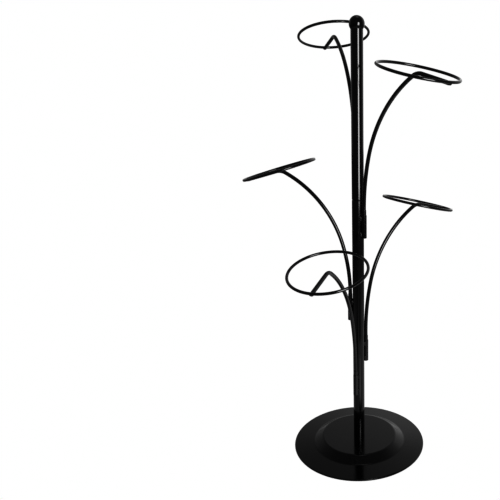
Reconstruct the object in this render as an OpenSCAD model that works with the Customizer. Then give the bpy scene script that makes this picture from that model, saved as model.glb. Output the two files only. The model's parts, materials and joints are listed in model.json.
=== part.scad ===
// Countertop stand for hats and caps: a round pressed base, a two-piece tube post,
// and five curved rod arms that swivel in sleeves and end in flat wire rings.
// Millimetres, +Z up. The origin is on the post's axis, on the floor.
// Azimuths run anticlockwise from +X, seen from above. The front is towards -Y.

/* [Base] */
// Outside diameter of the base
base_d = 304.8; // [250:0.1:380]
// Thickness of the base sheet
base_sheet = 1.6; // [1:0.1:2.4]
// Height of the rolled outer edge
base_rim_h = 3.4; // [3:0.1:6]
// Diameter where the flat flange turns up into the step
base_step_d = 213; // [195:1:225]
// Height of the flange where the step begins
base_step_z = 7.4; // [6.5:0.1:9]
// Diameter of the raised plateau
base_plateau_d = 172; // [130:1:180]
// Height of the plateau above the floor
base_plateau_z = 20; // [17:0.1:28]
// Radius that eases the step's two edges
base_ease_r = 9; // [4:0.5:10]

/* [Post] */
// Outside diameter of the post tubes
post_d = 25.4; // [22:0.1:31]
// Wall of the post tubes
post_wall = 1.5; // [1.2:0.1:2]
// Height above the floor where the two tubes meet
post_joint_z = 583.5; // [572:0.5:588]
// Height above the floor of the upper tube's end
post_top_z = 927.5; // [760:0.5:1120]
// Chamfer round the meeting ends, which shows as a fine groove
post_groove = 1.2; // [0.4:0.1:1.4]

/* [Finial] */
// Diameter of the ball on top
ball_d = 32; // [28:0.5:40]
// Length of the ball's spigot inside the tube
ball_spigot_l = 16; // [10:1:25]

/* [Sleeves] */
// Wall of the arm sleeves
sleeve_wall = 1.44; // [1:0.01:2.5]
// Length of the arm sleeves
sleeve_l = 50; // [40:1:62]
// Height of the lower end of sleeve 1, the highest
sleeve_1_z = 593; // [592:0.5:630]
// Height of the lower end of sleeve 2
sleeve_2_z = 502; // [480:0.5:515]
// Height of the lower end of sleeve 3
sleeve_3_z = 309.5; // [290:0.5:330]
// Height of the lower end of sleeve 4
sleeve_4_z = 207; // [195:0.5:220]
// Height of the lower end of sleeve 5, the lowest
sleeve_5_z = 131.5; // [110:0.5:145]
// Length of each weld bead beside a sleeve
weld_l = 11; // [6:1:15]
// Radius of the weld beads
weld_r = 2.2; // [1.5:0.1:2.6]

/* [Arms] */
// Diameter of the arm rods
rod_d = 8; // [6.5:0.1:9]
// Running clearance on the radius between rod and sleeve
rod_clear = 0.06; // [0.03:0.01:0.1]
// Upright length of the rod above its collar
stem_over = 1.2; // [0.8:0.1:20]
// Extra upright length of arm 4
stem_4_extra = 11; // [0:0.5:15]
// Length of the gently bent part above the stem
bow_l = 113.5; // [90:0.5:130]
// Angle turned by the gently bent part
bow_a = 15; // [12:0.5:18]
// Radius of the long upper curve
crook_r = 258; // [220:1:300]
// Angle turned by the long upper curve
crook_a = 45; // [40:0.5:50]
// Radius of the tight bend at the top, on the rod's axis
peak_r = 30; // [12:0.5:35]
// Slope of the straight bar across the ring, below level
bar_a = 15; // [10:0.5:18]
// Wall of the collar on each arm
collar_wall = 0.67; // [0.6:0.01:2]
// Height of the collar
collar_h = 11; // [6:0.5:15]
// Gap between the collar and the sleeve's rim
collar_gap = 0.3; // [0.2:0.1:0.5]

/* [Rings] */
// Diameter of the rings, on the wire's axis
ring_d = 158; // [130:1:170]
// Diameter of the ring wire
wire_d = 5.6; // [4:0.1:6.4]
// Distance of a ring's centre behind the start of its bar
ring_back = 9.5; // [0:0.5:15]
// Height of a ring's plane above the bar's axis
ring_rise = 2; // [0:0.1:3]

/* [Fasteners] */
// Thread diameter of the screw under the base
screw_d = 8; // [6:0.5:10]
// Thread diameter of the stud that joins the tubes
stud_d = 10; // [8:0.5:12]
// Length of the stud that joins the tubes
stud_l = 32; // [24:1:40]
// Length of the plugs inside the tubes
plug_l = 22; // [18:1:30]

/* [Hidden] */
$fn = 96;
// assembly clearance between pieces that are pressed, screwed or welded together
seat = 0.03;
post_r = post_d / 2;
tube_r = post_r - post_wall;
rod_r = rod_d / 2;
wire_r = wire_d / 2;
ring_r = ring_d / 2;
sleeve_bore_r = rod_r + rod_clear;
sleeve_r = sleeve_bore_r + sleeve_wall;
// distance from the post's axis to a sleeve's axis
sleeve_off = post_r + sleeve_r + seat;
sleeve_z = [sleeve_1_z, sleeve_2_z, sleeve_3_z, sleeve_4_z, sleeve_5_z];
stem_extra = [0, 0, 0, stem_4_extra, 0];
// upright length of the rod above the sleeve's lower end
stem_l = sleeve_l + collar_gap + collar_h + stem_over;
// where each sleeve stands round the post, as welded
sleeve_az = [106, -43, 174, 27, -112];
// how far each arm is swung in its sleeve
arm_swing = [4, -4, -4, 6, 3];
// small spread of the hand-bent arms: extra bow, and roll of the ring about its bar
arm_bow = [0, 0, 1.4, -2, 0];
ring_roll = [0, -1, -1, 1.5, 1];
// faint bands at the bends: height, and how far they stand proud
die_mark_h = 1.2;
die_mark_r = 0.05;
// the rod is cut short of the ring wire, and a weld closes the gap and wraps the wire
weld_gap = 1.2;
weld_inset = 0.4;
weld_ease = 1.5;
bar_slope = [for (b = arm_bow) bar_a + b];
// distance along the bar from the peak's end to the ring wire's axis
bar_l = ring_r - ring_back;
rod_end = bar_l - wire_r - weld_gap;
ball_r = ball_d / 2;
ball_flat = sqrt(ball_r * ball_r - post_r * post_r);
ball_z = post_top_z + ball_flat;
base_r = base_d / 2;
step_r = base_step_d / 2;
plateau_r = base_plateau_d / 2;
washer_t = 1.6;
lock_t = 2.1;
screw_head_h = 5.3;
screw_head_af = 1.625 * screw_d;
hole_clear = 0.5;
screw_top = base_plateau_z + plug_l - 4;
under_plateau = base_plateau_z - base_sheet;

// points of an arc about [cx, cz], from angle a0 to a1, in n steps
function arc(cx, cz, r, a0, a1, n) =
    [for (k = [0 : n]) [cx + r * cos(a0 + (a1 - a0) * k / n), cz + r * sin(a0 + (a1 - a0) * k / n)]];

// slopes of the flange and of the step, in degrees
flange_a = atan2(base_step_z - base_rim_h, base_r - base_sheet - step_r);
step_a = atan2(base_plateau_z - base_step_z, step_r - plateau_r);
// length eased away on each side of the step's two corners, by tangent of half the turn
low_turn = step_a - flange_a;
low_t = base_ease_r * tan(low_turn / 2);
top_t = base_ease_r * tan(step_a / 2);

// outline of the base's upper side, pulled in by t for the underside of the sheet
function base_line(t) = concat(
    [[base_r - t, 0]],
    arc(base_r - base_sheet, base_rim_h - base_sheet, base_sheet - t, 0, 90 - flange_a, 6),
    arc(step_r + low_t * cos(flange_a) + base_ease_r * sin(flange_a),
        base_step_z - low_t * sin(flange_a) + base_ease_r * cos(flange_a),
        base_ease_r + t, 270 - flange_a, 270 - step_a, 6),
    arc(plateau_r - top_t, base_plateau_z - base_ease_r,
        base_ease_r - t, 90 - step_a, 90, 6)
);
function turned(v) = [for (k = [len(v) - 1 : -1 : 0]) v[k]];

module tube(r_out, r_in, h) {
    difference() {
        cylinder(r = r_out, h = h);
        translate([0, 0, -1])
            cylinder(r = r_in, h = h + 2);
    }
}

// a tube with its outer edges chamfered by c0 below and c1 above
module eased_tube(r_out, r_in, h, c0, c1) {
    rotate_extrude()
        polygon([
            [r_in, 0], [r_out - c0, 0], [r_out, c0],
            [r_out, h - c1], [r_out - c1, h], [r_in, h]
        ]);
}

// a round rod with both end edges chamfered by c
module eased_rod(r, h, c) {
    rotate_extrude()
        polygon([[0, 0], [r - c, 0], [r, c], [r, h - c], [r - c, h], [0, h]]);
}

// a rod bent through angle a at radius r, from the origin upwards and towards +X,
// with the children placed at its far end; it stops short of both ends by half the
// die mark's height, and a die mark at its start closes the gap
module bend(r, a) {
    trim = 90 * die_mark_h / (2 * PI * r);
    die_mark();
    translate([r, 0, 0])
        rotate([90, 0, 0])
            rotate([0, 0, 180 - a + trim])
                rotate_extrude(angle = a - 2 * trim)
                    translate([r, 0])
                        circle(r = rod_r);
    bend_frame(r, a)
        children();
}

// the faint band that the bending die leaves where the rod's curvature changes
module die_mark() {
    translate([0, 0, -die_mark_h / 2])
        cylinder(r = rod_r + die_mark_r, h = die_mark_h);
}

module bend_frame(r, a) {
    translate([r, 0, 0])
        rotate([0, a, 0])
            translate([-r, 0, 0])
                children();
}

// frame of sleeve i: lower end of the sleeve, on its axis, +X pointing away from the post
module at_sleeve(i) {
    rotate([0, 0, sleeve_az[i]])
        translate([sleeve_off, 0, sleeve_z[i]])
            children();
}

// the same frame, swung with the arm
module at_arm(i) {
    at_sleeve(i)
        rotate([0, 0, arm_swing[i]])
            children();
}

function bow_angle(i) = bow_a + arm_bow[i];
function bow_radius(i) = bow_l * 180 / (PI * bow_angle(i));
function peak_angle(i) = 90 + bar_slope[i] - bow_angle(i) - crook_a;

// frame at the start of the straight bar of arm i, +Z pointing along the bar
module at_bar(i) {
    at_arm(i)
        translate([0, 0, stem_l + stem_extra[i]])
            bend_frame(bow_radius(i), bow_angle(i))
                bend_frame(crook_r, crook_a)
                    bend_frame(peak_r, peak_angle(i))
                        children();
}

// frame of ring i: its centre, +Z square to the ring, +X along the bar
module at_ring(i) {
    at_bar(i)
        translate([-ring_rise, 0, -ring_back])
            rotate([0, -90, 0])
                rotate([ring_roll[i], 0, 0])
                    children();
}

module base_plate() {
    color([0.05, 0.05, 0.055])
        difference() {
            rotate_extrude()
                polygon(concat(
                    [[0, base_plateau_z]],
                    turned(base_line(0)),
                    base_line(base_sheet),
                    [[0, under_plateau]]
                ));
            translate([0, 0, under_plateau - 1])
                cylinder(d = screw_d + hole_clear, h = base_sheet + 2);
        }
}

module base_washer() {
    color([0.7, 0.7, 0.72])
        translate([0, 0, under_plateau - seat - washer_t])
            tube(1.5 * screw_d, (screw_d + hole_clear) / 2, washer_t);
}

module base_lock_washer() {
    color([0.65, 0.65, 0.68])
        translate([0, 0, under_plateau - 2 * seat - washer_t - lock_t])
            difference() {
                tube(0.92 * screw_d, (screw_d + hole_clear / 2) / 2, lock_t);
                translate([0, -0.6, -1])
                    cube([screw_d, 1.2, lock_t + 2]);
            }
}

module base_screw() {
    z0 = under_plateau - 3 * seat - washer_t - lock_t - screw_head_h;
    color([0.68, 0.68, 0.7])
        union() {
            translate([0, 0, z0])
                cylinder(d = screw_head_af / cos(30), h = screw_head_h, $fn = 6);
            translate([0, 0, z0 + screw_head_h / 2])
                cylinder(d = screw_d, h = screw_top - z0 - screw_head_h / 2);
        }
}

// a plug of length h inside a tube, drilled through at radius r_hole
module plug(h, r_hole) {
    tube(tube_r - seat, r_hole, h);
}

module foot_plug() {
    color([0.6, 0.6, 0.62])
        translate([0, 0, base_plateau_z + seat])
            plug(plug_l, screw_d / 2 + seat);
}

module lower_post() {
    color([0.02, 0.02, 0.022])
        translate([0, 0, base_plateau_z + seat])
            eased_tube(post_r, tube_r, post_joint_z - base_plateau_z - 2 * seat, 0.3, post_groove);
}

module lower_plug() {
    color([0.6, 0.6, 0.62])
        translate([0, 0, post_joint_z - seat - plug_l])
            plug(plug_l, stud_d / 2 + seat);
}

module post_stud() {
    color([0.68, 0.68, 0.7])
        translate([0, 0, post_joint_z - stud_l / 2])
            eased_rod(stud_d / 2, stud_l, 1);
}

module upper_plug() {
    color([0.6, 0.6, 0.62])
        translate([0, 0, post_joint_z + seat])
            plug(plug_l, stud_d / 2 + seat);
}

module upper_post() {
    color([0.02, 0.02, 0.022])
        translate([0, 0, post_joint_z + seat])
            eased_tube(post_r, tube_r, post_top_z - post_joint_z - 2 * seat, post_groove, 0.3);
}

module ball_finial() {
    color([0.03, 0.03, 0.033])
        union() {
            difference() {
                translate([0, 0, ball_z])
                    sphere(r = ball_r);
                translate([0, 0, post_top_z - ball_r])
                    cube([3 * ball_r, 3 * ball_r, 2 * ball_r], center = true);
            }
            translate([0, 0, post_top_z - ball_spigot_l])
                cylinder(r = tube_r - seat, h = ball_spigot_l + 2);
        }
}

module sleeve(i) {
    color([0.02, 0.02, 0.022])
        at_sleeve(i)
            eased_tube(sleeve_r, sleeve_bore_r, sleeve_l, 0.5, 0.5);
}

// a bead lies in each valley beside the sleeve, near its upper and its lower end
module sleeve_welds(i) {
    bead_d = post_r + weld_r * 0.62;
    bead_e = sleeve_r + weld_r * 0.62;
    // the bead's axis, from its distances to the two tube axes
    bead_x = (bead_d * bead_d - bead_e * bead_e + sleeve_off * sleeve_off) / (2 * sleeve_off);
    bead_y = sqrt(bead_d * bead_d - bead_x * bead_x);
    color([0.03, 0.03, 0.032])
        rotate([0, 0, sleeve_az[i]])
            difference() {
                for (s = [-1, 1])
                    for (z = [1.5, sleeve_l - weld_l - 2.5])
                        translate([bead_x, s * bead_y, sleeve_z[i] + z])
                            eased_rod(weld_r, weld_l, weld_r * 0.5);
                translate([0, 0, sleeve_z[i] - 1])
                    cylinder(r = post_r + seat, h = sleeve_l + 2);
                translate([sleeve_off, 0, sleeve_z[i] - 1])
                    cylinder(r = sleeve_r + seat, h = sleeve_l + 2);
            }
}

module arm(i) {
    color([0.02, 0.02, 0.022])
        at_arm(i)
            union() {
                cylinder(r = rod_r, h = stem_l + stem_extra[i] - die_mark_h / 4);
                translate([0, 0, stem_l + stem_extra[i]])
                    bend(bow_radius(i), bow_angle(i))
                        bend(crook_r, crook_a)
                            bend(peak_r, peak_angle(i)) {
                                die_mark();
                                translate([0, 0, die_mark_h / 4])
                                    cylinder(r = rod_r, h = rod_end - die_mark_h / 4);
                            }
            }
}

module collar(i) {
    color([0.03, 0.03, 0.032])
        at_arm(i)
            translate([0, 0, sleeve_l + collar_gap])
                eased_tube(rod_r + seat + collar_wall, rod_r + seat, collar_h, 0.2, 0.5);
}

module ring(i) {
    color([0.02, 0.02, 0.022])
        at_ring(i)
            rotate_extrude()
                translate([ring_r, 0])
                    circle(r = wire_r);
}

module ring_weld(i) {
    color([0.03, 0.03, 0.032])
        difference() {
            at_bar(i)
                translate([0, 0, rod_end + seat])
                    eased_rod(rod_r, weld_gap + 2 * wire_r - weld_inset, weld_ease);
            at_ring(i)
                rotate_extrude($fn = 360)
                    translate([ring_r, 0])
                        circle(r = wire_r + seat);
        }
}

base_plate();
base_screw();
base_washer();
base_lock_washer();
foot_plug();
lower_post();
lower_plug();
post_stud();
upper_plug();
upper_post();
ball_finial();
for (i = [0 : 4]) {
    sleeve(i);
    sleeve_welds(i);
    arm(i);
    collar(i);
    ring(i);
    ring_weld(i);
}
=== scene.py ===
"""Finish and fine shape of a countertop stand for hats: gloss black enamel on a pressed
base, a tube post, five swivelling rod arms and their wire rings. Metres, +Z up."""

import json
import math

import bmesh
import bpy
from bpy.props import (
    FloatProperty, FloatVectorProperty, IntProperty, PointerProperty,
)
from mathutils import Matrix, Vector, noise


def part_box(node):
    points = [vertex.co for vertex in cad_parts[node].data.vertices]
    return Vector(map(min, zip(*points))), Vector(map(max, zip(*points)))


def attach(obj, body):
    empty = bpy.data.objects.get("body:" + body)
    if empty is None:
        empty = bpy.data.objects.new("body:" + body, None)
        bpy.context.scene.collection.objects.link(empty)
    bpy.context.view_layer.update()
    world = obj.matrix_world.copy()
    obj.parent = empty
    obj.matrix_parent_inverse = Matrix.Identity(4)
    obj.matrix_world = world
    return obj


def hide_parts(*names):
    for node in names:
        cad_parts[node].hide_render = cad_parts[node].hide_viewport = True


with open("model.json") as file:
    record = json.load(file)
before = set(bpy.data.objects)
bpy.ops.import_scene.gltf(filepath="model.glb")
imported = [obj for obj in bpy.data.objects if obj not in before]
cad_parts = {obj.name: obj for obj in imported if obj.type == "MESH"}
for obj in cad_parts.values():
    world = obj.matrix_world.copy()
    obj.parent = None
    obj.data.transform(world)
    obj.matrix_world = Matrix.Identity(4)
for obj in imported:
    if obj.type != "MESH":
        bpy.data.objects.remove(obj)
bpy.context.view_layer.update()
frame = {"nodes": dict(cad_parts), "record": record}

bl_info = {
    "name": "Hat Stand",
    "version": (1, 0, 0),
    "blender": (4, 5, 0),
    "location": "3D View > Sidebar > Hat Stand",
    "description": "Builds the enamelled pieces of a hat stand round its packed frame",
    "category": "Object",
}

MM = 0.001
ARMS = range(5)
TALL_ARM = 3

# Small edges that the CAD model leaves sharp or plain
CHAMFER_SOFTENING = 0.16 * MM
TUBE_EDGE = 0.3 * MM
SLEEVE_EDGE = 0.45 * MM
COLLAR_FOOT_EDGE = 0.3 * MM
COLLAR_TOP_EDGE = 0.45 * MM
ROD_EDGE = 0.5 * MM
WASHER_EDGE = 0.25 * MM
SPRING_WASHER_EDGE = 0.2 * MM
SPIGOT_CHAMFER = 0.6 * MM
SUPPORT_REACH = 1.4  # a rounding's support point, as a share of the rounding's reach

# Fits: what is left free
SCREW_HOLE_EXTRA = 0.5 * MM
SPRING_WASHER_FREE = 0.125 * MM
SPIGOT_FREE = 0.03 * MM
COLLAR_FREE = 0.03 * MM

# The sheet's rim turns under by these insets and heights, in thicknesses of the sheet
RIM_TURN = ((0.5, 0), (0.15, 0.12), (0, 0.45))
UNDERSIDE_INSET = 0.98  # between the two sides' curves, as a share of the thickness

# A collar's fine groove: mm inwards from its side, mm down from its top
COLLAR_GROOVE = ((0, 2.6), (0, 2.4), (0.1, 2.3), (0.38, 2.0), (0.38, 1.5), (0.1, 1.2), (0, 1.1))

# The hexagon screw
HEAD_ACROSS = 1.625  # share of the thread's diameter
HEAD_HEIGHT = 5.3 * MM
HEAD_CHAMFER = 0.9 * MM
HEAD_CHAMFER_SLOPE = 1.7
HEAD_LEVELS = (0, 0.25, 0.6, 0.9, 4.4, 4.7, 5.05, 5.3)  # mm up the head
CORNER_REACH = 1.155  # a hexagon's corner radius over its side's distance
THREAD_DEPTH = 0.61  # share of the pitch
THREAD_FLANK = 1.35  # how steep a flank is; above 1 leaves a flat crest
THREAD_RUN_OUT = 1.5 * MM
THREAD_END_DROP = 0.4 * MM

# A weld bead beside a sleeve: shares of its radius, but for the ripple and the bluntness
BEAD_MEAN = 0.93
BEAD_WANDER = 0.06
BEAD_RIPPLE_HEIGHT = 0.055
BEAD_RIPPLE = 1.25 * MM
BEAD_STAND_OFF = 0.62  # from its axis to each of the two faces
BEAD_BLUNTNESS = 0.28  # nearer 0 makes its ends blunter

# The weld of a bar on its ring
RING_BEAD_BACK = 2.2 * MM  # how far it runs back over the bar
RING_BEAD_INSET = 0.2 * MM  # how far it stops short of the wire's outer side
RING_BEAD_WIDTH = 2.4 * MM  # half the stretch over which it spreads along the wire
RING_BEAD_SPREAD = 0.3  # how much wider it is there
RING_BEAD_LUMPS = 0.04  # share of the rod's radius

ROD_FLATTENING = 0.035  # at the middle of the tight bend

# Facets round a turned piece
TUBE_STEPS, WASHER_STEPS, SLEEVE_STEPS, HEAD_STEPS = 128, 96, 64, 72


# ---------------------------------------------------------------- sizes from the frame

def span(node):
    """Lowest corner, highest corner and extent of a CAD node."""
    low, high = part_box(node)
    return low, high, high - low


BASE_LOW, BASE_HIGH, BASE_EXTENT = span("base_plate")
POST_EXTENT = span("lower_post")[2]
POST_TOP = span("upper_post")[1].z
BALL_TOP = span("ball_finial")[1].z
SLEEVE_EXTENT = span("sleeve_1")[2]
COLLAR_EXTENT = span("collar_1")[2]


def length(title, text, size, **more):
    """A length property, in metres."""
    return FloatProperty(
        name=title, description=text, default=size, unit="LENGTH", min=0, precision=4, **more)


def angle(title, text, degrees):
    """An angle property, given in degrees and kept in radians."""
    return FloatProperty(
        name=title, description=text, default=math.radians(degrees), subtype="ANGLE")


def angles(title, text, degrees):
    """One angle for each arm."""
    return FloatVectorProperty(
        name=title, description=text, size=len(degrees), subtype="NONE",
        default=[math.radians(d) for d in degrees])


class BaseSizes(bpy.types.PropertyGroup):
    """Sizes of the pressed base and of the screw under it."""

    diameter: length("Diameter", "Outside diameter of the base", BASE_EXTENT.x)
    sheet: length("Sheet", "Thickness of the pressed sheet", 1.6 * MM)
    rim_height: length("Rim height", "Height of the rolled outer edge", 3.4 * MM)
    step_diameter: length("Step diameter", "Where the flange turns up into the step", 213 * MM)
    step_height: length("Step height", "Height of the flange where the step begins", 7.4 * MM)
    plateau_diameter: length("Plateau diameter", "Diameter of the raised plateau", 172 * MM)
    plateau_height: length("Plateau height", "Height of the plateau", BASE_HIGH.z)
    ease: length("Ease", "Radius that eases the step's two edges", 9 * MM)
    screw: length("Screw", "Thread diameter of the screw", 8 * MM)
    thread_pitch: length("Thread pitch", "Rise of the thread in one turn", 1.25 * MM)


class PostSizes(bpy.types.PropertyGroup):
    """Sizes of the two tubes and of the ball on top."""

    diameter: length("Diameter", "Outside diameter of the tubes", POST_EXTENT.x)
    wall: length("Wall", "Wall of the tubes", 1.5 * MM)
    groove: length("Groove", "Chamfer of each tube where the two meet", 1.2 * MM)
    ball: length("Ball", "Diameter of the ball", 32 * MM)


class ArmSizes(bpy.types.PropertyGroup):
    """Sizes and bends of the swivelling arms, their sleeves and their collars."""

    rod: length("Rod", "Diameter of the arm rods", 8 * MM)
    sleeve: length("Sleeve", "Outside diameter of the sleeves", SLEEVE_EXTENT.x)
    sleeve_wall: length("Sleeve wall", "Wall of the sleeves", 1.44 * MM)
    collar: length("Collar", "Outside diameter of the collars", COLLAR_EXTENT.x)
    stem_over: length("Stem over collar", "Upright rod above the collar", 1.2 * MM)
    stem_4_extra: length("Extra stem 4", "Extra upright length of arm 4", 11 * MM)
    bow_length: length("Bow length", "Length of the gently bent part", 113.5 * MM)
    bow: angle("Bow", "Angle turned by the gently bent part", 15)
    crook_radius: length("Crook radius", "Radius of the long upper curve", 258 * MM)
    crook: angle("Crook", "Angle turned by the long upper curve", 45)
    peak_radius: length("Peak radius", "Radius of the tight bend at the top", 30 * MM)
    bar_slope: angle("Bar slope", "Slope of the bar across the ring, below level", 15)
    bow_spread: angles("Bow spread", "Extra bow of each hand-bent arm", (0, 0, 1.4, -2, 0))
    swing: angles("Swing", "How far each arm is swung in its sleeve", (4, -4, -4, 6, 3))
    bead_length: length("Bead length", "Length of the weld beads beside a sleeve", 11 * MM)
    bead: length("Bead", "Radius of the weld beads", 2.2 * MM)


class RingSizes(bpy.types.PropertyGroup):
    """Sizes of the wire rings and of the welds that hold them."""

    diameter: length("Diameter", "Diameter on the wire's axis", 158 * MM)
    wire: length("Wire", "Diameter of the ring wire", 5.6 * MM)
    back: length("Back", "How far a ring's centre lies behind its bar's start", 9.5 * MM)
    rise: length("Rise", "Height of a ring's plane above its bar's axis", 2 * MM)
    weld_gap: length("Weld gap", "Gap that the weld closes", 1.2 * MM)
    roll: angles("Roll", "Roll of each ring about its bar", (0, -1, -1, 1.5, 1))


class FinishColours(bpy.types.PropertyGroup):
    """Colours of the enamel and of the plated fasteners."""

    enamel: FloatVectorProperty(
        name="Enamel", description="Colour of the black enamel", subtype="COLOR",
        default=(0.0016, 0.0016, 0.0018), min=0, max=1)
    bloom: FloatVectorProperty(
        name="Bloom", description="Colour of the faint dust on the enamel", subtype="COLOR",
        default=(0.006, 0.006, 0.0062), min=0, max=1)
    zinc: FloatVectorProperty(
        name="Zinc", description="Colour of the plated fasteners", subtype="COLOR",
        default=(0.52, 0.52, 0.50), min=0, max=1)
    zinc_shade: FloatVectorProperty(
        name="Zinc shade", description="Darker tone in the plating", subtype="COLOR",
        default=(0.33, 0.32, 0.28), min=0, max=1)


class StageSettings(bpy.types.PropertyGroup):
    """Camera, light and contrast."""

    camera_place: FloatVectorProperty(
        name="Camera", description="Where the camera stands", subtype="XYZ", unit="LENGTH",
        default=(0.0304, -1.2261, 0.7914))
    camera_down: angle("Camera tilt", "How far the camera looks down", 14.59)
    lens: FloatProperty(name="Lens", description="Focal length in mm", default=41.645)
    shift: FloatProperty(
        name="Shift", description="Sideways shift of the frame", default=-0.244)
    softbox: FloatProperty(
        name="Softbox", description="Radiance of the tall softbox", default=17)
    overhead: FloatProperty(
        name="Overhead", description="Radiance of the small light overhead", default=1.5)
    contrast: FloatProperty(
        name="Contrast", description="Gamma of the view; lower is harder", default=0.62)
    segments: IntProperty(
        name="Round steps", description="Facets round the largest turned piece", default=256)


SETTINGS = {
    "stand_base": BaseSizes,
    "stand_post": PostSizes,
    "stand_arm": ArmSizes,
    "stand_ring": RingSizes,
    "stand_colour": FinishColours,
    "stand_stage": StageSettings,
}


# ---------------------------------------------------------------- finishes

class NodeBench:
    """Short calls for laying out the nodes of one material or world."""

    def __init__(self, tree):
        self.tree = tree
        tree.nodes.clear()

    def add(self, kind, **values):
        """A node with its properties set; a key that starts with in_ sets a socket by number."""
        node = self.tree.nodes.new(kind)
        for key, value in values.items():
            if key.startswith("in_"):
                self.feed(node.inputs[int(key[3:])], value)
            else:
                setattr(node, key, value)
        return node

    def feed(self, socket, value):
        """Links a socket to another, or sets its value."""
        if isinstance(value, bpy.types.NodeSocket):
            self.tree.links.new(value, socket)
        else:
            socket.default_value = value

    def fill(self, node, **values):
        """Feeds a node's sockets by name."""
        for name, value in values.items():
            self.feed(node.inputs[name.replace("_", " ")], value)
        return node

    def grain(self, place, scale, detail, roughness):
        """Noise whose grain is about 1 / scale metres across."""
        return self.fill(self.add("ShaderNodeTexNoise"), Vector=place, Scale=scale,
                         Detail=detail, Roughness=roughness).outputs["Fac"]

    def ease(self, value, low, high, out_low, out_high):
        """Maps low..high to out_low..out_high, smoothly."""
        node = self.add("ShaderNodeMapRange", interpolation_type="SMOOTHSTEP")
        for number, item in enumerate((value, low, high, out_low, out_high)):
            self.feed(node.inputs[number], item)
        return node.outputs[0]

    def math(self, operation, first, second=0.0):
        """One sum."""
        return self.add("ShaderNodeMath", operation=operation, in_0=first, in_1=second).outputs[0]

    def blend(self, share, first, second):
        """A colour between two colours."""
        node = self.add("ShaderNodeMix", data_type="RGBA")
        return self.fill(node, Factor=share, A=first, B=second).outputs["Result"]

    def glow(self, strength):
        """White light of the given strength."""
        return self.add("ShaderNodeEmission", in_0=(1, 1, 1, 1), in_1=strength).outputs[0]

    def show(self, surface):
        """Makes a shader the material's surface."""
        self.add("ShaderNodeOutputMaterial", in_0=surface)

    def bump(self, height, depth, strength, under=None):
        """A bump of the given depth in metres, on top of another."""
        node = self.fill(self.add("ShaderNodeBump"), Height=height, Distance=depth,
                         Strength=strength)
        if under is not None:
            self.fill(node, Normal=under)
        return node.outputs["Normal"]


def rgba(colour):
    """A colour property as four numbers."""
    return (*colour, 1.0)


def bare_material(name):
    """An empty node material and its bench."""
    made = bpy.data.materials.new(name)
    made.use_nodes = True
    return made, NodeBench(made.node_tree)


def surface_material(name):
    """A node material with its bench, place and shader."""
    made, bench = bare_material(name)
    place = bench.add("ShaderNodeTexCoord").outputs["Object"]
    shader = bench.add("ShaderNodeBsdfPrincipled")
    bench.show(shader.outputs["BSDF"])
    return made, bench, place, shader


def enamel(name, peel, wave, smooth, rough):
    """Black baked enamel. peel is the depth of its fine orange peel and wave that of its slow
    undulation; its roughness runs from smooth to rough."""
    if name in bpy.data.materials:
        return bpy.data.materials[name]
    colour = bpy.context.scene.stand_colour
    made, bench, place, shader = surface_material(name)
    clouds = bench.grain(place, scale=210, detail=5, roughness=0.62)
    grit = bench.grain(place, scale=1900, detail=1, roughness=0.4)
    mottle = bench.ease(clouds, 0.46, 0.78, 0, 1)
    speck = bench.ease(grit, 0.70, 0.80, 0, 1)
    dust = bench.math("MAXIMUM", bench.math("MULTIPLY", mottle, 0.55), speck)
    sheen = bench.grain(place, scale=38, detail=4, roughness=0.55)
    swell = bench.grain(place, scale=26, detail=1, roughness=0.3)
    slow = bench.bump(swell, depth=wave, strength=0.6)
    pebble = bench.grain(place, scale=720, detail=2, roughness=0.45)
    bench.fill(shader, Base_Color=bench.blend(dust, rgba(colour.enamel), rgba(colour.bloom)),
               Roughness=bench.ease(sheen, 0.3, 0.7, smooth, rough), IOR=1.5,
               Normal=bench.bump(pebble, depth=peel, strength=0.5, under=slow))
    return made


def tube_enamel():
    """Enamel on drawn tube and rod, which levels out well."""
    return enamel("tube_enamel", peel=0.0012 * MM, wave=0.012 * MM, smooth=0.09, rough=0.13)


def sheet_enamel():
    """Enamel on the wide pressed sheet, a little wavier."""
    return enamel("sheet_enamel", peel=0.0012 * MM, wave=0.05 * MM, smooth=0.10, rough=0.16)


def bead_enamel():
    """Enamel that has pooled over weld beads."""
    return enamel("bead_enamel", peel=0.006 * MM, wave=0.03 * MM, smooth=0.14, rough=0.22)


def zinc_plate():
    """Bright zinc plating with turning marks and a slight yellow cast."""
    name = "zinc_plate"
    if name in bpy.data.materials:
        return bpy.data.materials[name]
    colour = bpy.context.scene.stand_colour
    made, bench, place, shader = surface_material(name)
    squeeze = bench.fill(bench.add("ShaderNodeMapping"), Vector=place, Scale=(1, 1, 22))
    lines = bench.grain(squeeze.outputs["Vector"], scale=260, detail=3, roughness=0.6)
    spangle = bench.grain(place, scale=420, detail=3, roughness=0.5)
    shade = bench.ease(spangle, 0.35, 0.7, 0, 1)
    bench.fill(shader, Base_Color=bench.blend(shade, rgba(colour.zinc), rgba(colour.zinc_shade)),
               Roughness=bench.ease(lines, 0.3, 0.7, 0.26, 0.46), Metallic=1.0,
               Normal=bench.bump(lines, depth=0.02 * MM, strength=0.5))
    return made


# ---------------------------------------------------------------- mesh work

def arc(centre, radius, start, end, steps):
    """Points of an arc in an outline, from one angle to another, in radians."""
    turn = (end - start) / steps
    return [
        (centre[0] + radius * math.cos(start + turn * k),
         centre[1] + radius * math.sin(start + turn * k))
        for k in range(steps + 1)
    ]


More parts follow.
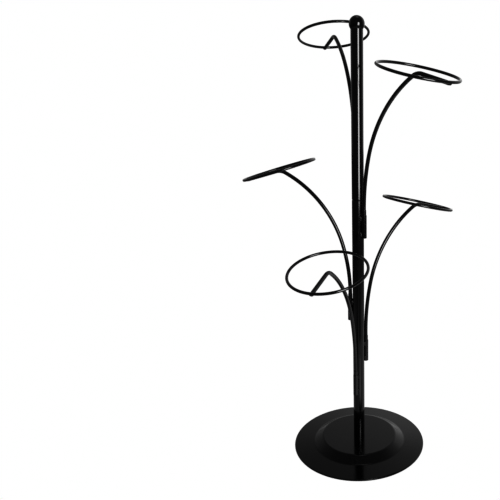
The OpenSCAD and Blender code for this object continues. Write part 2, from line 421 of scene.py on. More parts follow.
def rounded(corners, radius, steps=5):
    """An outline whose sharp corners are rounded off. A point just beyond each rounding keeps
    its shading off the flats."""
    made = []
    count = len(corners)
    for k in range(count):
        here = Vector(corners[k])
        back = Vector(corners[k - 1]) - here
        ahead = Vector(corners[(k + 1) % count]) - here
        room = min(back.length, ahead.length) / 2
        back.normalize()
        ahead.normalize()
        half = back.angle(ahead) / 2
        if half > math.radians(85):
            made.append(tuple(here))
            continue
        reach = radius / math.tan(half)
        centre = here + (back + ahead).normalized() * (radius / math.sin(half))
        first = here + back * reach - centre
        last = here + ahead * reach - centre
        beyond = min(SUPPORT_REACH * reach, 0.9 * room)
        made.append(tuple(here + back * beyond))
        for j in range(steps + 1):
            lean = first.lerp(last, j / steps).normalized() * radius
            made.append(tuple(centre + lean))
        made.append(tuple(here + ahead * beyond))
    return made


def lathe(shell, outline, steps, closed=True, at=(0, 0)):
    """Turns an outline of (radius, height) points about an upright axis. A point on the axis
    becomes a pole."""
    rows = []
    for radius, height in outline:
        if radius < 1e-7:
            rows.append([shell.verts.new((at[0], at[1], height))])
            continue
        rows.append([
            shell.verts.new((at[0] + radius * math.cos(math.tau * k / steps),
                             at[1] + radius * math.sin(math.tau * k / steps), height))
            for k in range(steps)
        ])
    pairs = list(zip(rows, rows[1:]))
    if closed:
        pairs.append((rows[-1], rows[0]))
    for lower, upper in pairs:
        join_rows(shell, lower, upper, steps)


def join_rows(shell, lower, upper, steps):
    """Faces between two rows of points, either of which may be a pole."""
    for k in range(steps):
        n = (k + 1) % steps
        if len(lower) == 1 and len(upper) == 1:
            return
        if len(lower) == 1:
            shell.faces.new((lower[0], upper[n], upper[k]))
        elif len(upper) == 1:
            shell.faces.new((lower[k], lower[n], upper[0]))
        else:
            shell.faces.new((lower[k], lower[n], upper[n], upper[k]))


def skin(shell, rows, capped=True):
    """Faces along rows of points, with a fan over each end."""
    steps = len(rows[0])
    made = [[shell.verts.new(p) for p in row] for row in rows]
    for lower, upper in zip(made, made[1:]):
        join_rows(shell, lower, upper, steps)
    if capped:
        for row, points in ((made[0], rows[0]), (made[-1], rows[-1])):
            middle = sum((Vector(p) for p in points), Vector()) / steps
            join_rows(shell, row, [shell.verts.new(middle)], steps)


def placed(name, shell, material):
    """Turns a built shell into an object in the scene."""
    mesh = bpy.data.meshes.new(name)
    shell.to_mesh(mesh)
    shell.free()
    mesh.materials.append(material)
    made = bpy.data.objects.new(name, mesh)
    bpy.context.scene.collection.objects.link(made)
    return made


def piece(name, shell, node, finish, sharp=32, slack=0.6 * MM):
    """Turns a built shell into a piece that replaces a CAD node and rides on its body, if its
    size agrees with the node's."""
    bmesh.ops.recalc_face_normals(shell, faces=shell.faces)
    made = placed(name, shell, finish)
    made.data.shade_smooth()
    made.data.set_sharp_from_angle(angle=math.radians(sharp))
    agree(made, node, slack)
    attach(made, body_of(node))
    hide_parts(node)
    return made


def body_of(node):
    """The body that a CAD node belongs to."""
    for body, members in frame["record"]["behaviour"]["bodies"].items():
        if node in members:
            return body
    raise RuntimeError(f"no body holds {node}")


def agree(made, node, slack):
    """Stops the script if a piece's box is further than slack from its CAD node's."""
    low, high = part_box(node)
    points = [v.co for v in made.data.vertices]
    for axis in range(3):
        below = min(p[axis] for p in points) - low[axis]
        above = max(p[axis] for p in points) - high[axis]
        if abs(below) > slack or abs(above) > slack:
            raise RuntimeError(
                f"{made.name} is off {node} by {below / MM:.2f} and {above / MM:.2f} mm"
                f" on axis {axis}")


# ---------------------------------------------------------------- base

def base_outline(sizes):
    """The pressed sheet's section: along its upper side from the hole to the rim, and back
    along its underside."""
    edge = sizes.diameter / 2
    step = sizes.step_diameter / 2
    plateau = sizes.plateau_diameter / 2
    sheet, rim, ease = sizes.sheet, sizes.rim_height, sizes.ease
    hole = (sizes.screw + SCREW_HOLE_EXTRA) / 2
    flange = math.atan2(sizes.step_height - rim, edge - sheet - step)
    rise = math.atan2(sizes.plateau_height - sizes.step_height, step - plateau)
    low_reach = ease * math.tan((rise - flange) / 2)
    top_reach = ease * math.tan(rise / 2)
    quarter = math.pi / 2

    def side(inset):
        """One side of the sheet, from the rim to the plateau."""
        lip = arc((edge - sheet, rim - sheet), sheet - inset, 0, quarter - flange, 8)
        hollow = arc(
            (step + low_reach * math.cos(flange) + ease * math.sin(flange),
             sizes.step_height - low_reach * math.sin(flange) + ease * math.cos(flange)),
            ease + inset, 3 * quarter - flange, 3 * quarter - rise, 10)
        crown = arc((plateau - top_reach, sizes.plateau_height - ease),
                    ease - inset, quarter - rise, quarter, 10)
        return lip, hollow, crown

    lip, hollow, crown = side(0)
    upper = [(edge - inset * sheet, height * sheet) for inset, height in RIM_TURN]
    upper += lip + held(lip[-1], hollow[0]) + hollow + held(hollow[-1], crown[0], 4) + crown
    upper += held(crown[-1], (hole, sizes.plateau_height)) + [(hole, sizes.plateau_height)]
    lip, hollow, crown = side(sheet * UNDERSIDE_INSET)
    lower = [(edge - sheet, 0)] + lip[-1:] + held(lip[-1], hollow[0]) + hollow
    lower += held(hollow[-1], crown[0], 4) + crown
    lower += held(crown[-1], (hole, sizes.plateau_height - sheet))
    lower += [(hole, sizes.plateau_height - sheet)]
    return upper + lower[::-1]


def stretch(first, last, steps):
    """Points between two points, without the ends."""
    return [
        tuple(Vector(first).lerp(Vector(last), k / steps)) for k in range(1, steps)
    ]


def held(first, last, steps=12):
    """Points between two points, without the ends. A point close to each end keeps the
    shading of the curves beyond off the straight part."""
    close = 0.25 * MM / (Vector(last) - Vector(first)).length
    after, before = (tuple(Vector(first).lerp(Vector(last), share))
                     for share in (close, 1 - close))
    return [after] + stretch(first, last, steps) + [before]


class STAND_OT_pressed_base(bpy.types.Operator):
    """Make the round pressed base with its rolled rim and raised plateau"""

    bl_idname = "stand.pressed_base"
    bl_label = "Pressed base"

    def execute(self, context):
        shell = bmesh.new()
        lathe(shell, base_outline(context.scene.stand_base), context.scene.stand_stage.segments)
        piece("pressed_base", shell, "base_plate", sheet_enamel())
        return {"FINISHED"}


def hex_radius(turn, across):
    """Distance from the axis to a hexagon's side, in the direction turn."""
    sixth = math.tau / 6
    off = (turn % sixth) - sixth / 2
    return across / 2 / math.cos(off)


def screw_rows(sizes, low, high):
    """Rows of points for a chamfered hexagon head and the thread on it."""
    across = HEAD_ACROSS * sizes.screw
    steps = HEAD_STEPS
    rows = []
    for height in HEAD_LEVELS:
        level = height * MM
        into = max(0.0, HEAD_CHAMFER - level, HEAD_CHAMFER - (HEAD_HEIGHT - level))
        limit = across / 2 * CORNER_REACH - into * HEAD_CHAMFER_SLOPE
        rows.append([
            round_point(min(hex_radius(math.tau * k / steps, across), limit),
                        math.tau * k / steps, low + level)
            for k in range(steps)
        ])
    core, crest = sizes.screw / 2 - THREAD_DEPTH * sizes.thread_pitch, sizes.screw / 2
    levels = int((high - low - HEAD_HEIGHT) / (sizes.thread_pitch / 6))
    for j in range(levels + 1):
        height = low + HEAD_HEIGHT + (high - low - HEAD_HEIGHT) * j / levels
        tip = min(1.0, (high - height) / THREAD_RUN_OUT)
        row = []
        for k in range(steps):
            turn = math.tau * k / steps
            phase = ((height / sizes.thread_pitch) - turn / math.tau) % 1.0
            ridge = 1 - abs(2 * phase - 1)
            radius = core + (crest - core) * min(1.0, THREAD_FLANK * ridge) * tip
            radius -= THREAD_END_DROP * (1 - tip)
            row.append(round_point(radius, turn, height))
        rows.append(row)
    return rows


def round_point(radius, turn, height):
    """A point at a distance and a direction from the upright axis through the origin."""
    return (radius * math.cos(turn), radius * math.sin(turn), height)


def split_washer(shell, low, high, inner, outer):
    """A spring washer: a flat coil of one turn, cut across."""
    steps = WASHER_STEPS
    gap = math.radians(10)
    drop = 0.12 * (high - low)
    rows = []
    for k in range(steps + 1):
        share = k / steps
        turn = gap / 2 + (math.tau - gap) * share
        floor = low + drop * share
        roof = high - drop * (1 - share)
        section = rounded([(inner, floor), (outer, floor), (outer, roof), (inner, roof)],
                          SPRING_WASHER_EDGE, 2)
        rows.append([round_point(r, turn, h) for r, h in section])
    skin(shell, rows)


class STAND_OT_base_fasteners(bpy.types.Operator):
    """Make the hexagon screw, the flat washer and the spring washer under the base"""

    bl_idname = "stand.base_fasteners"
    bl_label = "Base fasteners"

    def execute(self, context):
        sizes = context.scene.stand_base
        low, high, _ = span("base_screw")
        shell = bmesh.new()
        skin(shell, screw_rows(sizes, low.z, high.z))
        piece("hexagon_screw", shell, "base_screw", zinc_plate(), sharp=40)
        low, high, extent = span("base_washer")
        shell = bmesh.new()
        hole = (sizes.screw + SCREW_HOLE_EXTRA) / 2
        edge = extent.x / 2
        lathe(shell, rounded([(hole, low.z), (edge, low.z), (edge, high.z), (hole, high.z)],
                             WASHER_EDGE), WASHER_STEPS)
        piece("flat_washer", shell, "base_washer", zinc_plate())
        low, high, extent = span("base_lock_washer")
        shell = bmesh.new()
        split_washer(shell, low.z, high.z, sizes.screw / 2 + SPRING_WASHER_FREE, extent.y / 2)
        piece("spring_washer", shell, "base_lock_washer", zinc_plate())
        return {"FINISHED"}


class STAND_OT_inner_fittings(bpy.types.Operator):
    """Plate the plugs and the stud that lie inside the tubes"""

    bl_idname = "stand.inner_fittings"
    bl_label = "Inner fittings"

    def execute(self, context):
        for node in ("foot_plug", "lower_plug", "upper_plug", "post_stud"):
            made = frame["nodes"][node]
            made.data.materials.clear()
            made.data.materials.append(zinc_plate())
        return {"FINISHED"}


# ---------------------------------------------------------------- post

def tube_outline(outer, inner, low, high, cut_low, cut_high):
    """Section of a tube with chamfered outer edges, a little softened by the enamel, and with
    steps up its long outer side."""
    corners = [(outer - cut_low, low), (outer, low + cut_low),
               (outer, high - cut_high), (outer - cut_high, high)]
    soft = rounded([(inner, low)] + corners + [(inner, high)], CHAMFER_SOFTENING, 3)
    foot = max(k for k, point in enumerate(soft) if point[1] < (low + high) / 2
               and point[0] > outer - 0.01 * MM)
    return soft[:foot + 1] + stretch(soft[foot], soft[foot + 1], 12) + soft[foot + 1:]


class STAND_OT_post_tubes(bpy.types.Operator):
    """Make the two tubes of the post, with the groove where they meet"""

    bl_idname = "stand.post_tubes"
    bl_label = "Post tubes"

    def execute(self, context):
        sizes = context.scene.stand_post
        outer = sizes.diameter / 2
        inner = outer - sizes.wall
        for name, node, cuts in (("lower_tube", "lower_post", (TUBE_EDGE, sizes.groove)),
                                 ("upper_tube", "upper_post", (sizes.groove, TUBE_EDGE))):
            low, high, _ = span(node)
            shell = bmesh.new()
            lathe(shell, tube_outline(outer, inner, low.z, high.z, *cuts), TUBE_STEPS)
            piece(name, shell, node, tube_enamel(), sharp=60)
        return {"FINISHED"}


class STAND_OT_ball_finial(bpy.types.Operator):
    """Make the ball on top of the post, with its seat and spigot"""

    bl_idname = "stand.ball_finial"
    bl_label = "Ball finial"

    def execute(self, context):
        sizes = context.scene.stand_post
        radius = sizes.ball / 2
        centre = BALL_TOP - radius
        bore = sizes.diameter / 2 - sizes.wall
        seat = math.asin((POST_TOP - centre) / radius)
        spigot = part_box("ball_finial")[0].z
        outline = arc((0, centre), radius, seat, math.pi / 2, 40)
        outline[-1] = (0, centre + radius)
        foot = [(0, spigot), (bore - SPIGOT_CHAMFER, spigot),
                (bore - SPIGOT_FREE, spigot + SPIGOT_CHAMFER), (bore - SPIGOT_FREE, POST_TOP)]
        shell = bmesh.new()
        lathe(shell, foot + outline, TUBE_STEPS, closed=False)
        piece("ball_knob", shell, "ball_finial", tube_enamel())
        return {"FINISHED"}


# ---------------------------------------------------------------- sleeves and collars

def sleeve_axis(arm):
    """Where the axis of an arm's sleeve stands, and its lower end."""
    low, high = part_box(f"sleeve_{arm + 1}")
    middle = (low + high) / 2
    return Vector((middle.x, middle.y, low.z))


def sleeve_turn(arm):
    """Direction of a sleeve from the post, anticlockwise from +X."""
    place = sleeve_axis(arm)
    return math.atan2(place.y, place.x)


class STAND_OT_arm_sleeves(bpy.types.Operator):
    """Make the five sleeves that the arms swivel in"""

    bl_idname = "stand.arm_sleeves"
    bl_label = "Arm sleeves"

    def execute(self, context):
        sizes = context.scene.stand_arm
        outer = sizes.sleeve / 2
        inner = outer - sizes.sleeve_wall
        for arm in ARMS:
            node = f"sleeve_{arm + 1}"
            low, high, _ = span(node)
            place = sleeve_axis(arm)
            corners = [(inner, low.z), (outer, low.z), (outer, high.z), (inner, high.z)]
            shell = bmesh.new()
            lathe(shell, rounded(corners, SLEEVE_EDGE), SLEEVE_STEPS, at=(place.x, place.y))
            piece(f"sleeve_tube_{arm + 1}", shell, node, tube_enamel(), sharp=50)
        return {"FINISHED"}


def bead_rows(place, low, size, long, seed):
    """Rows of points of one weld bead: rippled, with rounded uneven ends."""
    steps, levels = 20, 56
    rows = []
    for j in range(levels + 1):
        share = j / levels
        height = low + long * share
        taper = math.sin(math.pi * min(max(share, 0.012), 0.988)) ** BEAD_BLUNTNESS
        wander = noise.noise(Vector((seed, share * 5, 0))) * BEAD_WANDER
        wave = BEAD_RIPPLE_HEIGHT * abs(math.sin(math.pi * (height - low) / BEAD_RIPPLE))
        radius = size * taper * (BEAD_MEAN + wander + wave)
        rows.append([
            (place.x + radius * math.cos(math.tau * k / steps),
             place.y + radius * math.sin(math.tau * k / steps), height)
            for k in range(steps)
        ])
    return rows


class STAND_OT_sleeve_beads(bpy.types.Operator):
    """Make the weld beads in the valleys between the sleeves and the post"""

    bl_idname = "stand.sleeve_beads"
    bl_label = "Sleeve weld beads"

    def execute(self, context):
        sizes = context.scene.stand_arm
        post = context.scene.stand_post.diameter / 2 + sizes.bead * BEAD_STAND_OFF
        sleeve = sizes.sleeve / 2 + sizes.bead * BEAD_STAND_OFF
        for arm in ARMS:
            axis = sleeve_axis(arm)
            off = math.hypot(axis.x, axis.y)
            out = (post ** 2 - sleeve ** 2 + off ** 2) / (2 * off)
            aside = math.sqrt(post ** 2 - out ** 2)
            node = f"sleeve_welds_{arm + 1}"
            low, high, _ = span(node)
            shell = bmesh.new()
            for side in (-1, 1):
                for level in (low.z, high.z - sizes.bead_length):
                    place = Vector((out, side * aside, 0))
                    place.rotate(Matrix.Rotation(sleeve_turn(arm), 3, "Z"))
                    seed = 3.7 * arm + side + level * 11
                    skin(shell, bead_rows(place, level, sizes.bead, sizes.bead_length, seed))
            piece(f"weld_beads_{arm + 1}", shell, node, bead_enamel(),
                  slack=1.2 * MM)
        return {"FINISHED"}


class STAND_OT_arm_collars(bpy.types.Operator):
    """Make the collars that carry the arms on their sleeves"""

    bl_idname = "stand.arm_collars"
    bl_label = "Arm collars"

    def execute(self, context):
        sizes = context.scene.stand_arm
        outer, inner = sizes.collar / 2, sizes.rod / 2 + COLLAR_FREE
        for arm in ARMS:
            node = f"collar_{arm + 1}"
            low, high, _ = span(node)
            place = sleeve_axis(arm)
            top = high.z
            outline = [(inner, low.z)]
            outline += arc((outer - COLLAR_FOOT_EDGE, low.z + COLLAR_FOOT_EDGE),
                           COLLAR_FOOT_EDGE, -math.pi / 2, 0, 4)
            outline += [(outer, low.z + 0.5 * MM)]
            outline += [(outer - inward * MM, top - down * MM) for inward, down in COLLAR_GROOVE]
            outline += arc((outer - COLLAR_TOP_EDGE, top - 0.5 * MM), COLLAR_TOP_EDGE,
                           0, math.pi / 2, 5)
            outline += [(inner, top)]
            shell = bmesh.new()
            lathe(shell, outline, SLEEVE_STEPS, at=(place.x, place.y))
            piece(f"stop_collar_{arm + 1}", shell, node, tube_enamel(), sharp=40)
        return {"FINISHED"}


# ---------------------------------------------------------------- arms

def arm_bow(sizes, arm):
    """Angle of an arm's gentle bow."""
    return sizes.bow + sizes.bow_spread[arm]


def arm_slope(sizes, arm):
    """Slope of an arm's bar, below level."""
    return sizes.bar_slope + sizes.bow_spread[arm]


def stem_length(sizes, arm):
    """Upright length of an arm's rod above its sleeve's lower end."""
    collar_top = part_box(f"collar_{arm + 1}")[1].z
    extra = sizes.stem_4_extra if arm == TALL_ARM else 0
    return collar_top - sleeve_axis(arm).z + sizes.stem_over + extra


def arm_line(sizes, arm):
    """Stations (outward, up, lean) along an arm's axis, in its own upright plane. lean is the
    axis's angle from upright."""
    stem = stem_length(sizes, arm)
    bow = arm_bow(sizes, arm)
    peak = math.pi / 2 + arm_slope(sizes, arm) - bow - sizes.crook
    line = [(0, stem * share, 0.0) for share in (0, 0.25, 0.5, 0.75)]
    out, up, lean = 0.0, stem, 0.0
    for radius, turn, steps in ((sizes.bow_length / bow, bow, 36),
                                (sizes.crook_radius, sizes.crook, 72),
                                (sizes.peak_radius, peak, 28)):
        hub = (out + radius * math.cos(lean), up - radius * math.sin(lean))
        for k in range(steps):
            part = lean + turn * k / steps
            line.append((hub[0] - radius * math.cos(part), hub[1] + radius * math.sin(part),
                         part))
        lean += turn
        out = hub[0] - radius * math.cos(lean)
        up = hub[1] + radius * math.sin(lean)
    line.append((out, up, lean))
    return line


def arm_frame(sizes, arm):
    """Turns an arm's own plane to its place round the post."""
    turn = sleeve_turn(arm) + sizes.swing[arm]
    return Matrix.Translation(sleeve_axis(arm)) @ Matrix.Rotation(turn, 4, "Z")


def station(line_point):
    """Centre and inward direction of a station, in the arm's plane."""
    out, up, lean = line_point
    return Vector((out, 0, up)), Vector((math.cos(lean), 0, -math.sin(lean)))


def bar_end(rings, line):
    """The bar's start and direction, and the length of rod from there to its cut end."""
    out, up, lean = line[-1]
    along = Vector((math.sin(lean), 0, math.cos(lean)))
    reach = rings.diameter / 2 - rings.back - rings.wire / 2 - rings.weld_gap
    return Vector((out, 0, up)), along, reach


def squeeze_at(lean, sizes):
    """How much a station is flattened: a rod flattens a little where it is bent tightly."""
    start = sizes.bow + sizes.crook
    share = (lean - start) / (math.pi / 2 + sizes.bar_slope - start)
    return ROD_FLATTENING * math.sin(math.pi * min(max(share, 0), 1))


def rod_rows(sizes, rings, arm):
    """Rows of points of a bent rod with an eased foot."""
    steps = 40
    line = arm_line(sizes, arm)
    start, along, reach = bar_end(rings, line)
    lean = line[-1][2]
    for share in (0.25, 0.5, 0.75):
        place = start + along * reach * share
        line.append((place.x, place.z, lean))
    place = start + along * reach
    stations = [(*station(p), sizes.rod / 2, squeeze_at(p[2], sizes)) for p in line]
    stations.append((*station((place.x, place.z, lean)), sizes.rod / 2, 0))
    foot, inward, radius, _ = stations[0]
    up = Vector((0, 0, 1))
    bevel = [(foot + up * ROD_EDGE * (1 - math.cos(a)), inward,
              radius - ROD_EDGE * (1 - math.sin(a)), 0)
             for a in (0, math.pi / 6, math.pi / 3, math.pi / 2)]
    stations = bevel + stations[1:]
    side = Vector((0, 1, 0))
    shift = arm_frame(sizes, arm)
    rows = []
    for centre, inward, radius, flat in stations:
        rows.append([
            shift @ (centre
                     + inward * (radius * (1 - flat) * math.cos(math.tau * k / steps))
                     + side * (radius * (1 + 0.5 * flat) * math.sin(math.tau * k / steps)))
            for k in range(steps)
        ])
    return rows


class STAND_OT_bent_rods(bpy.types.Operator):
    """Make the five bent rods"""

    bl_idname = "stand.bent_rods"
    bl_label = "Bent rods"

    def execute(self, context):
        scene = context.scene
        for arm in ARMS:
            shell = bmesh.new()
            skin(shell, rod_rows(scene.stand_arm, scene.stand_ring, arm))
            piece(f"bent_rod_{arm + 1}", shell, f"arm_{arm + 1}", tube_enamel(),
                  sharp=50)
        return {"FINISHED"}


# ---------------------------------------------------------------- rings

def ring_frame(sizes, rings, arm):
    """Frame of a ring: its centre, X along the bar and Z square to the ring."""
    start, along, _ = bar_end(rings, arm_line(sizes, arm))
    side = Vector((0, 1, 0))
    square = along.cross(side)
    centre = start - along * rings.back + square * rings.rise
    turned = Matrix((along, side, square)).transposed().to_4x4()
    roll = Matrix.Rotation(rings.roll[arm], 4, "X")
    return arm_frame(sizes, arm) @ Matrix.Translation(centre) @ turned @ roll


class STAND_OT_wire_rings(bpy.types.Operator):
    """Make the five wire rings"""

    bl_idname = "stand.wire_rings"
    bl_label = "Wire rings"

    def execute(self, context):
        scene = context.scene
        rings = scene.stand_ring
        round_steps, wire_steps = scene.stand_stage.segments, 28
        for arm in ARMS:
            place = ring_frame(scene.stand_arm, rings, arm)
            wire = arc((rings.diameter / 2, 0), rings.wire / 2, 0,
                       math.tau * (1 - 1 / wire_steps), wire_steps - 1)
            shell = bmesh.new()
            lathe(shell, wire, round_steps)
            shell.transform(place)
            piece(f"wire_ring_{arm + 1}", shell, f"ring_{arm + 1}", tube_enamel())
        return {"FINISHED"}


def ring_bead_rows(sizes, rings, arm):
    """Rows of points of the weld that closes a bar on its ring, in the ring's frame: it runs
    on from the rod, spreads along the wire and ends round at the wire's outer side."""
    steps, levels = 36, 44
    wire = rings.diameter / 2
    first = wire - rings.wire / 2 - rings.weld_gap - RING_BEAD_BACK
    last = wire + rings.wire / 2 - RING_BEAD_INSET
    rows = []
    for j in range(levels + 1):
        share = j / levels
        along = first + (last - first) * share
        near = math.exp(-(((along - wire) / RING_BEAD_WIDTH) ** 2))
        start = min(1.0, 0.92 + 0.12 * math.sqrt(min(1.0, share / 0.12)))
        tail = math.sqrt(max(0.0, 1 - max(0.0, (share - 0.6) / 0.4) ** 2.6))
        centre = -rings.rise * (1 - 0.25 * near)
        row = []
        for k in range(steps):
            turn = math.tau * k / steps
            lump = noise.noise(Vector((math.cos(turn) * 1.3 + arm * 5, math.sin(turn) * 1.3,
                                       along / (2.2 * MM))))
            radius = sizes.rod / 2 * (1.01 + RING_BEAD_LUMPS * lump) * start * max(tail, 0.05)
            row.append(Vector((along, radius * (1 + RING_BEAD_SPREAD * near) * math.cos(turn),
                               centre + radius * math.sin(turn))))
        rows.append(row)
    return rows


class STAND_OT_ring_beads(bpy.types.Operator):
    """Make the welds that close each bar on its ring"""

    bl_idname = "stand.ring_beads"
    bl_label = "Ring weld beads"

    def execute(self, context):
        scene = context.scene
        for arm in ARMS:
            shell = bmesh.new()
            skin(shell, ring_bead_rows(scene.stand_arm, scene.stand_ring, arm))
            shell.transform(ring_frame(scene.stand_arm, scene.stand_ring, arm))
            piece(f"ring_bead_{arm + 1}", shell, f"ring_weld_{arm + 1}",
                  bead_enamel(), slack=3 * MM)
        return {"FINISHED"}


# ---------------------------------------------------------------- stage

# Each panel: its centre, the point that it faces, its width and its height
TALL_SOFTBOX = ((0.563, -1.06, 0.765), (0, 0, 0.765), 0.64, 0.91)
OVERHEAD_SOFTBOX = ((0.1, 0.15, 2.1), (0, 0, POST_TOP / 2), 0.8, 0.8)
LOW_FLAG = ((0.28, -0.53, 0.17), (0, 0, 0.17), 0.5, 0.34)
FLOOR_CARD = ((0.155, -0.291, 0.004), (0.155, -0.291, -1), 0.18, 0.36)
FLOOR_CARD_TURN = math.radians(28)  # so that its length points from the post to the softbox
FLAG_RADIANCE, CARD_RADIANCE = 0.3, 2.2

# How bright a panel is once it is mirrored twice over: below and above a share of its height
TWICE_BELOW, TWICE_ABOVE = 2.6, 0.02
TWICE_LIMIT, TWICE_FADE = 0.505, 0.02

FLOOR_RADIUS = 8.0
FLOOR_MIRRORED = 0.75  # how bright the enamel sees the floor; the eye sees 1
ROOM_GLOW = 0.21  # how bright the enamel sees the room on all sides

# Where the mirrored floor and back wall change: from, to, level at from, level at to. The
# floor's distance and side are in metres; the wall's height, depth and side are directions.
FLOOR_FAR = (0.6, 1.5, FLOOR_MIRRORED, 0.3 * FLOOR_MIRRORED)
FLOOR_SIDE = (-0.3, 0.3, 0.6, 1.4)
WALL_LOW = (0.44, 0.64, 0.60, 0.33)
WALL_HIGH = (0.62, 0.92, 1.0, 0.25)
WALL_BEHIND = (-0.2, 0.5, 0.0, 1.0)
WALL_SIDE = (-0.3, 0.25, 0.5, 1.5)


def glow_material(name, radiance, edges):
    """A softbox cloth, bright in the middle and fading towards its edges. edges gives, for its
    width and height, the share over which it fades at the low and the high side."""
    made, bench = bare_material(name)
    place = bench.add("ShaderNodeTexCoord").outputs["Generated"]
    parts = bench.add("ShaderNodeSeparateXYZ", in_0=place)
    level = None
    for axis, (low, high) in enumerate(edges):
        rise = bench.ease(parts.outputs[axis], 0.0, low, 0.0, 1.0)
        fall = bench.ease(parts.outputs[axis], 1 - high, 1.0, 1.0, 0.0)
        both = bench.math("MULTIPLY", rise, fall)
        level = both if level is None else bench.math("MULTIPLY", level, both)
    bounce = bench.add("ShaderNodeLightPath").outputs["Ray Depth"]
    low_part = bench.ease(parts.outputs[1], TWICE_LIMIT, TWICE_LIMIT + TWICE_FADE,
                          TWICE_BELOW, TWICE_ABOVE)
    level = bench.math("MULTIPLY", level, bench.ease(bounce, 1.2, 1.8, 1.0, low_part))
    bench.show(bench.glow(bench.math("MULTIPLY", level, radiance)))
    return made


def panel(name, centre, aim, wide, tall, material):
    """A flat light panel that faces a point. The camera doesn't see it."""
    shell = bmesh.new()
    corners = [(-wide / 2, -tall / 2), (wide / 2, -tall / 2), (wide / 2, tall / 2),
               (-wide / 2, tall / 2)]
    shell.faces.new([shell.verts.new((x, y, 0)) for x, y in corners])
    made = placed(name, shell, material)
    made.location = centre
    made.rotation_euler = (Vector(centre) - Vector(aim)).to_track_quat("Z", "Y").to_euler()
    made.visible_camera = False
    made.visible_shadow = False
    return made


def floor_material(seen):
    """A white floor that shows darker in the enamel than to the eye, as under a dark flag. It
    can be looked through from below."""
    made, bench = bare_material("pale_floor")
    direct = bench.add("ShaderNodeLightPath").outputs["Is Camera Ray"]
    place = bench.add("ShaderNodeTexCoord").outputs["Object"]
    away = bench.add("ShaderNodeVectorMath", operation="LENGTH", in_0=place).outputs["Value"]
    aside = bench.add("ShaderNodeSeparateXYZ", in_0=place).outputs[0]
    dim = bench.math("MULTIPLY", bench.ease(away, *FLOOR_FAR), bench.ease(aside, *FLOOR_SIDE))
    below = bench.add("ShaderNodeNewGeometry").outputs["Backfacing"]
    cover = bench.add("ShaderNodeMixShader", in_0=below,
                      in_1=bench.glow(bench.ease(direct, 0, 1, dim, seen)),
                      in_2=bench.add("ShaderNodeBsdfTransparent").outputs["BSDF"])
    bench.show(cover.outputs["Shader"])
    return made


def surroundings(seen):
    """A white room that the enamel mirrors as dim grey, brighter low down behind the stand and
    on its right."""
    world = bpy.data.worlds.new("white_room")
    world.use_nodes = True
    bpy.context.scene.world = world
    bench = NodeBench(world.node_tree)
    way = bench.add("ShaderNodeSeparateXYZ",
                    in_0=bench.add("ShaderNodeTexCoord").outputs["Generated"])
    low_down = bench.ease(way.outputs[2], *WALL_LOW)
    high_up = bench.ease(way.outputs[2], *WALL_HIGH)
    behind = bench.ease(way.outputs[1], *WALL_BEHIND)
    rightwards = bench.ease(way.outputs[0], *WALL_SIDE)
    back_wall = bench.math("MULTIPLY", bench.math("MULTIPLY", low_down, high_up), rightwards)
    dim = bench.math("ADD", bench.math("MULTIPLY", back_wall, behind), ROOM_GLOW)
    direct = bench.add("ShaderNodeLightPath").outputs["Is Camera Ray"]
    level = bench.fill(bench.add("ShaderNodeMix", data_type="FLOAT"),
                       Factor=direct, A=dim, B=seen)
    sky = bench.add("ShaderNodeBackground", in_0=(1, 1, 1, 1), in_1=level.outputs["Result"])
    bench.add("ShaderNodeOutputWorld", in_0=sky.outputs["Background"])


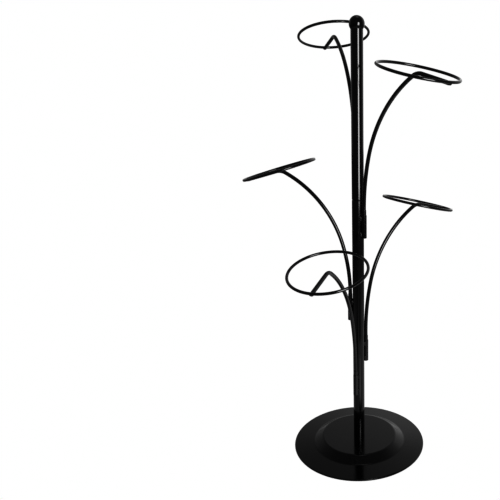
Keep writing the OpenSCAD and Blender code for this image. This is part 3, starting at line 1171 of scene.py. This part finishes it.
class STAND_OT_studio(bpy.types.Operator):
    """Set the pale floor, the light panels, the surroundings and the camera"""

    bl_idname = "stand.studio"
    bl_label = "Studio"

    def execute(self, context):
        scene = context.scene
        stage = scene.stand_stage
        scene.view_settings.view_transform = "Standard"
        scene.view_settings.gamma = stage.contrast
        surroundings(1.0)
        shell = bmesh.new()
        bmesh.ops.create_circle(shell, cap_ends=True, segments=64, radius=FLOOR_RADIUS)
        ground = placed("pale_floor", shell, floor_material(1.0))
        ground.location.z = BASE_LOW.z - 0.5 * MM
        panel("tall_softbox", *TALL_SOFTBOX,
              glow_material("tall_softbox", stage.softbox, edges=((0.2, 0.2), (0.16, 0.08))))
        card = panel("floor_card", *FLOOR_CARD,
                     glow_material("floor_card", CARD_RADIANCE, edges=((0.2, 0.2), (0.1, 0.3))))
        card.rotation_euler = (0, 0, FLOOR_CARD_TURN)
        panel("low_flag", *LOW_FLAG,
              glow_material("low_flag", FLAG_RADIANCE, edges=((0.05, 0.05), (0.05, 0.05))))
        panel("overhead_softbox", *OVERHEAD_SOFTBOX,
              glow_material("overhead_softbox", stage.overhead,
                            edges=((0.3, 0.3), (0.3, 0.3))))
        lens = bpy.data.cameras.new("camera")
        lens.sensor_width = 36
        lens.lens = stage.lens
        lens.shift_x = stage.shift
        camera = bpy.data.objects.new("camera", lens)
        camera.location = stage.camera_place
        camera.rotation_euler = (math.pi / 2 - stage.camera_down, 0, 0)
        scene.collection.objects.link(camera)
        scene.camera = camera
        return {"FINISHED"}


# ---------------------------------------------------------------- add-on

OPERATORS = (
    STAND_OT_studio,
    STAND_OT_pressed_base,
    STAND_OT_base_fasteners,
    STAND_OT_inner_fittings,
    STAND_OT_post_tubes,
    STAND_OT_ball_finial,
    STAND_OT_arm_sleeves,
    STAND_OT_sleeve_beads,
    STAND_OT_bent_rods,
    STAND_OT_arm_collars,
    STAND_OT_wire_rings,
    STAND_OT_ring_beads,
)


class STAND_PT_sidebar(bpy.types.Panel):
    """Lists the steps that build the stand, and its sizes"""

    bl_idname = "STAND_PT_sidebar"
    bl_label = "Hat Stand"
    bl_space_type = "VIEW_3D"
    bl_region_type = "UI"
    bl_category = "Hat Stand"

    def draw(self, context):
        for group_name, group in SETTINGS.items():
            box = self.layout.box()
            box.label(text=group.__doc__)
            for key in group.__annotations__:
                box.prop(getattr(context.scene, group_name), key)
        for operator in OPERATORS:
            self.layout.operator(operator.bl_idname)


def register():
    for group_name, group in SETTINGS.items():
        bpy.utils.register_class(group)
        setattr(bpy.types.Scene, group_name, PointerProperty(type=group))
    for item in (*OPERATORS, STAND_PT_sidebar):
        bpy.utils.register_class(item)


def unregister():
    for item in (STAND_PT_sidebar, *reversed(OPERATORS)):
        bpy.utils.unregister_class(item)
    for group_name, group in reversed(SETTINGS.items()):
        delattr(bpy.types.Scene, group_name)
        bpy.utils.unregister_class(group)


def main():
    register()
    for operator in OPERATORS:
        family, step = operator.bl_idname.split(".")
        getattr(getattr(bpy.ops, family), step)()


if __name__ == "__main__":
    main()
